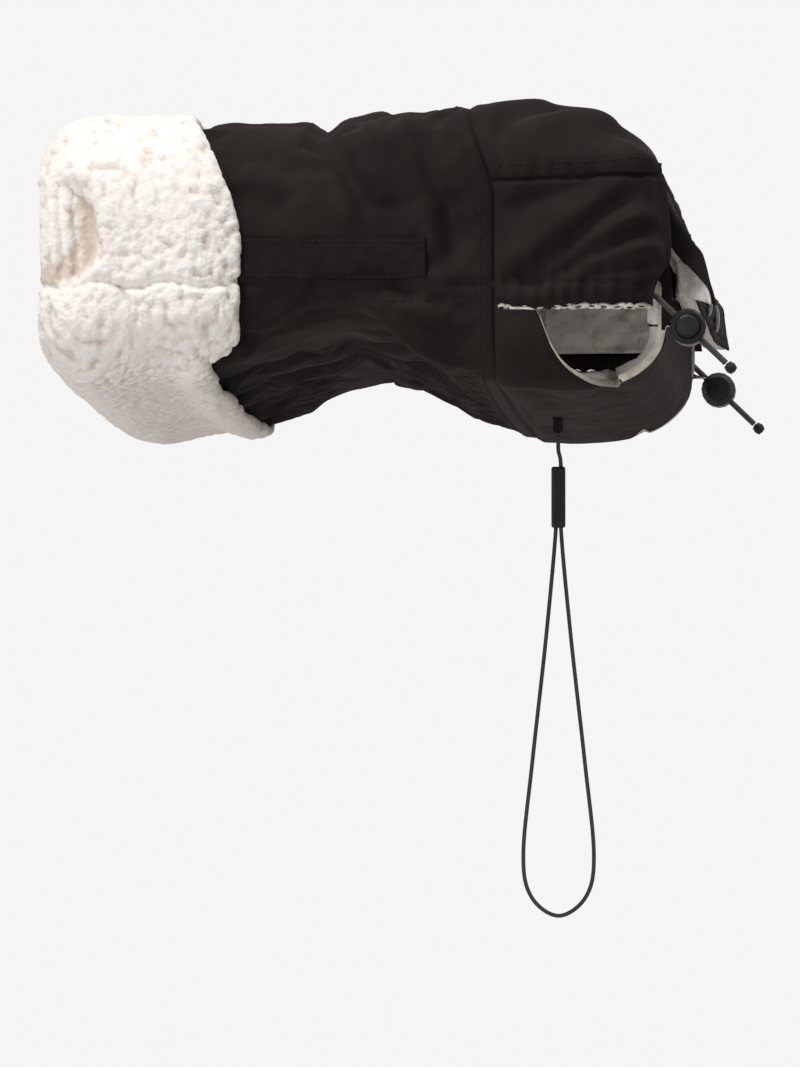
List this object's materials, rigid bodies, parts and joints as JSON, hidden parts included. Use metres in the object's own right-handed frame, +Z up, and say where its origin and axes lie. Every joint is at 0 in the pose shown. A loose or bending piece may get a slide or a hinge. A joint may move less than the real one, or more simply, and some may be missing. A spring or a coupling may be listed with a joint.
{
  "type": "stroller hand muff",
  "caption": "Padded hand muff that closes round a stroller's handlebar, with a turned-back pile cuff, a hood with a front flap, side slots with cord locks, and a hanging wrist cord.",
  "frame": {"origin": "on the handlebar's axis at the middle of the muff's width", "axes": "+X away from the mouth, towards the front flap; +Y along the handlebar, from the end with the ribbon to the other; +Z up"},
  "size_m": [0.2673, 0.4182, 0.314],
  "materials": {
    "black_fabric": "matt coated softshell",
    "black_ribbon": "woven ribbon, left plain",
    "cream_pile": "curly pile",
    "white_wadding": "loose wadding",
    "cream_trim": "folded tape",
    "black_cord": "braided cord",
    "black_plastic": "moulded, satin",
    "black_metal": "black coated",
    "spring_steel": "drawn wire"
  },
  "bodies": {
    "muff": {"sleeve_top_outer": "black_fabric", "sleeve_bottom_outer": "black_fabric", "sleeve_top_wadding": "white_wadding", "sleeve_bottom_wadding": "white_wadding", "sleeve_top_lining": "cream_pile", "sleeve_bottom_lining": "cream_pile", "cuff_top": "cream_pile", "cuff_bottom": "cream_pile", "hood_top_outer": "black_fabric", "hood_top_lining": "cream_pile", "near_wing_outer": "black_fabric", "near_wing_lining": "cream_pile", "far_wing_outer": "black_fabric", "far_wing_lining": "cream_pile", "under_panel_outer": "black_fabric", "under_panel_lining": "cream_pile", "near_slot_binding": "cream_trim", "far_slot_binding": "cream_trim", "panel_snap_stud_1": "black_metal", "panel_snap_stud_2": "black_metal", "panel_snap_stud_3": "black_metal", "panel_snap_back_1": "black_metal", "panel_snap_back_2": "black_metal", "panel_snap_back_3": "black_metal", "near_hem_channel": "black_fabric", "far_hem_channel": "black_fabric", "near_hem_piping": "cream_trim", "far_hem_piping": "cream_trim", "near_drawcord": "black_cord", "far_drawcord": "black_cord", "near_cord_end": "black_plastic", "far_cord_end": "black_plastic", "side_ribbon": "black_ribbon", "cord_tab": "black_ribbon"},
    "front_flap": {"front_flap_outer": "black_fabric", "front_flap_lining": "cream_pile", "flap_snap_cap_1": "black_metal", "flap_snap_cap_2": "black_metal", "flap_snap_cap_3": "black_metal", "flap_snap_socket_1": "black_metal", "flap_snap_socket_2": "black_metal", "flap_snap_socket_3": "black_metal"},
    "near_toggle": {"near_toggle_barrel": "black_plastic", "near_toggle_spring": "spring_steel"},
    "near_button": {"near_toggle_plunger": "black_plastic"},
    "far_toggle": {"far_toggle_barrel": "black_plastic", "far_toggle_spring": "spring_steel"},
    "far_button": {"far_toggle_plunger": "black_plastic"},
    "hanging_cord": {"wrist_cord": "black_cord", "wrist_cord_sleeve": "black_plastic"}
  },
  "joints": [
    {"name": "front_flap_hinge", "type": "hinge", "parent": "muff", "child": "front_flap", "pos_m": [0.0443, 0, 0.0225], "axis": [0, -1, 0], "range_deg": [0, 150]},
    {"name": "near_toggle_slide", "type": "slide", "parent": "muff", "child": "near_toggle", "axis": [0.7219, 0, -0.692], "range_m": [-0.008, 0.01]},
    {"name": "near_button_press", "type": "slide", "parent": "near_toggle", "child": "near_button", "axis": [0, 1, 0], "range_m": [0, 0.003], "stiffness_N_per_m": 400, "springref_m": -0.003, "deforming": ["near_toggle_spring"]},
    {"name": "far_toggle_slide", "type": "slide", "parent": "muff", "child": "far_toggle", "axis": [0.7219, 0, -0.692], "range_m": [-0.008, 0.01]},
    {"name": "far_button_press", "type": "slide", "parent": "far_toggle", "child": "far_button", "axis": [0, -1, 0], "range_m": [0, 0.003], "stiffness_N_per_m": 400, "springref_m": -0.003, "deforming": ["far_toggle_spring"]},
    {"name": "wrist_cord_swing", "type": "hinge", "parent": "muff", "child": "hanging_cord", "pos_m": [-0.002, 0, -0.06648], "axis": [0, 1, 0], "range_deg": [-75, 75]}
  ]
}
